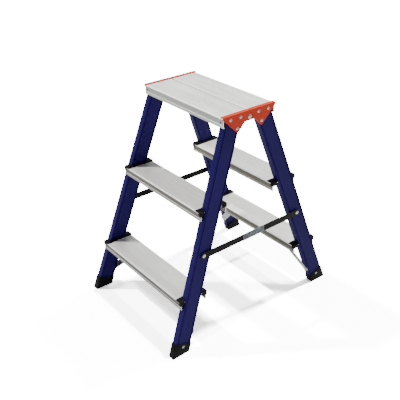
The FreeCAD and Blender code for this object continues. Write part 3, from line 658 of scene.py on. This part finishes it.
# %% Lean it, and cut the sole level
bpy.ops.mesh.select_all(action="SELECT")
bpy.ops.transform.rotate(value=STILE_SPLAY, orient_axis="Y", center_override=(0, 0, 0))
bpy.ops.transform.rotate(value=STILE_LEAN, orient_axis="X", center_override=(0, 0, 0))
bpy.ops.transform.translate(value=STILE_FOOT)
bpy.ops.mesh.bisect(plane_co=(0, 0, 0), plane_no=(0, 0, 1), use_fill=True, clear_inner=True)
print("leaned", round(math.degrees(STILE_LEAN), 2), "and", round(math.degrees(STILE_SPLAY), 2))


# %% The parting groove
def parting_band(face, ends):
    heights = [e.z for e in ends]
    inside = min(heights) > PARTING_LOW - NEAR and max(heights) < PARTING_HIGH + NEAR
    return inside and abs(face.normal.z) < 0.6


for level in (PARTING_LOW, PARTING_HIGH):
    bpy.ops.mesh.select_all(action="SELECT")
    bpy.ops.mesh.bisect(plane_co=(0, 0, level), plane_no=(0, 0, 1))
band = choose(boot, "FACE", parting_band)
bpy.ops.mesh.extrude_region_shrink_fatten(TRANSFORM_OT_shrink_fatten={"value": -PARTING_DEEP})
print("parting groove:", band, "faces")


# %% Inset the sole and measure it
def sole_face(face, ends):
    return face.normal.z < -0.9 and max(e.z for e in ends) < NEAR


choose(boot, "FACE", sole_face)
bpy.ops.mesh.inset(thickness=SOLE_EDGE)
bpy.ops.object.mode_set(mode="OBJECT")
inner = [boot.data.vertices[i].co for f in boot.data.polygons if f.select for i in f.vertices]
sole_left, sole_right = min(v.x for v in inner), max(v.x for v in inner)
sole_start = min(v.y for v in inner)
sole_step = (max(v.y for v in inner) - sole_start) / SOLE_BARS
bpy.ops.object.mode_set(mode="EDIT")
print("sole:", round(sole_right - sole_left, 4), "wide, bars of", round(sole_step, 4))


# %% Cut the sole into bars and sink every other one
def in_sole(face, ends):
    across = all(sole_left - NEAR < e.x < sole_right + NEAR for e in ends)
    return across and sole_face(face, ends)


def sole_gap(face, ends):
    centre = sum(e.y for e in ends) / len(ends)
    return in_sole(face, ends) and int((centre - sole_start) / sole_step) % 2 == 1


for index in range(1, SOLE_BARS):
    choose(boot, "FACE", in_sole)
    bpy.ops.mesh.bisect(plane_co=(0, sole_start + index * sole_step, 0), plane_no=(0, 1, 0))
gaps = choose(boot, "FACE", sole_gap)
bpy.ops.mesh.extrude_region_move(TRANSFORM_OT_translate={"value": (0, 0, SOLE_DEEP)})
print("sole:", gaps, "grooves")

# %% Close its seams and turn its faces out
bpy.ops.mesh.select_all(action="SELECT")
bpy.ops.mesh.remove_doubles(threshold=1e-6)
bpy.ops.mesh.normals_make_consistent(inside=False)
bpy.ops.object.mode_set(mode="OBJECT")
bpy.ops.object.shade_smooth_by_angle(angle=SMOOTH_BELOW)
corner_points = [Vector([pick(v.co[i] for v in boot.data.vertices) for i in range(3)])
                 for pick in (min, max)]
print("boot:", [tuple(round(c, 5) for c in point) for point in corner_points])

# %% [markdown]
# The other three boots are the same moulding. The left one is its mirror image, and the rear
# pair is the front pair turned half round the middle of the ladder.


# %% Copy it to the other three feet
def set_on_foot(piece, node, body):
    piece.data.materials.clear()
    piece.data.materials.append(finishes["black_plastic"])
    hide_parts(node)
    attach(piece, body)


def copy_turned(piece, name, turn):
    """A copy with its own mesh, moved by the matrix turn. A mirror also flips its faces."""
    twin = piece.copy()
    twin.data = piece.data.copy()
    twin.name = name
    bpy.context.scene.collection.objects.link(twin)
    twin.data.transform(turn)
    if turn.determinant() < 0:
        twin.data.flip_normals()
    return twin


MIRROR_X = Matrix.Scale(-1, 4, (1, 0, 0))
HALF_TURN = Matrix.Rotation(math.pi, 4, "Z")
set_on_foot(boot, "front_foot_right", "front_frame")
left_boot = copy_turned(boot, "boot_front_left", MIRROR_X)
set_on_foot(left_boot, "front_foot_left", "front_frame")
set_on_foot(copy_turned(boot, "boot_rear_left", HALF_TURN), "rear_foot_left", "rear_frame")
set_on_foot(copy_turned(left_boot, "boot_rear_right", HALF_TURN), "rear_foot_right", "rear_frame")

# %% [markdown]
# ## Floor and light
# A white sweep and distant soft lamps show the shapes and leave only pale shadows. The sky
# colour fills in from all sides. The strongest lamp is behind and in line with the front
# stiles, so the front treads all shade one band between the feet. One at the front left
# lights the walls, and a weak low one throws the short streaks that run forward. The floor
# and the sky look brighter to the camera than they are to the ladder, so the ground stays
# white without lighting the dark paint from below.

# %% The floor
FLOOR_TONE, SEEN_TONE = rgb(0.55, 0.55, 0.55), rgb(4.6, 4.6, 4.6)
FLOOR_SIZE, FLOOR_DROP = 40, 0.0005

bpy.ops.object.select_all(action="DESELECT")
bpy.ops.mesh.primitive_plane_add(size=FLOOR_SIZE, location=(0, 0, -FLOOR_DROP))
floor = bpy.context.object
floor.name = "floor"
material, tree, shader = new_material("white sweep")
seen = add_node(tree, "ShaderNodeLightPath").outputs["Is Camera Ray"]
tree.links.new(mix_colour(tree, seen, FLOOR_TONE, SEEN_TONE), shader.inputs["Base Color"])
set_shader(shader, Roughness=1.0, Specular_IOR_Level=0.0)
floor.data.materials.append(material)
print("floor:", tuple(round(v, 1) for v in floor.dimensions))

# %% The sky
SKY_GLOW, SKY_SEEN = 0.45, 17.0

world = bpy.data.worlds.new("studio")
bpy.context.scene.world = world
world.use_nodes = True
tree = world.node_tree
sky = tree.nodes["Background"]
seen = add_node(tree, "ShaderNodeLightPath").outputs["Is Camera Ray"]
tree.links.new(remap(tree, seen, 0, 1, SKY_GLOW, SKY_SEEN), sky.inputs["Strength"])
sky.inputs["Color"].default_value = rgb(1, 1, 1)
print("sky:", SKY_GLOW, "to the ladder,", SKY_SEEN, "to the camera")


# %% The lamps
def far_lamp(name, travel, strength, softness):
    """A distant lamp. travel is the way its light goes, softness its disc in degrees."""
    data = bpy.data.lights.new(name, "SUN")
    data.energy = strength
    data.angle = math.radians(softness)
    lamp = bpy.data.objects.new(name, data)
    bpy.context.scene.collection.objects.link(lamp)
    lamp.location = Vector(travel) * -3
    lamp.rotation_mode = "QUATERNION"
    lamp.rotation_quaternion = Vector(travel).to_track_quat("-Z", "Y")
    print(f"lamp: {name}, {strength:.1f}")


far_lamp("behind", (0, -0.35, -1), 5.8, 3.0)
far_lamp("front left", (0.39, 0.255, -0.68), 4.0, 2.5)
far_lamp("behind, lower", (0, -0.485, -0.68), 1.9, 3.0)
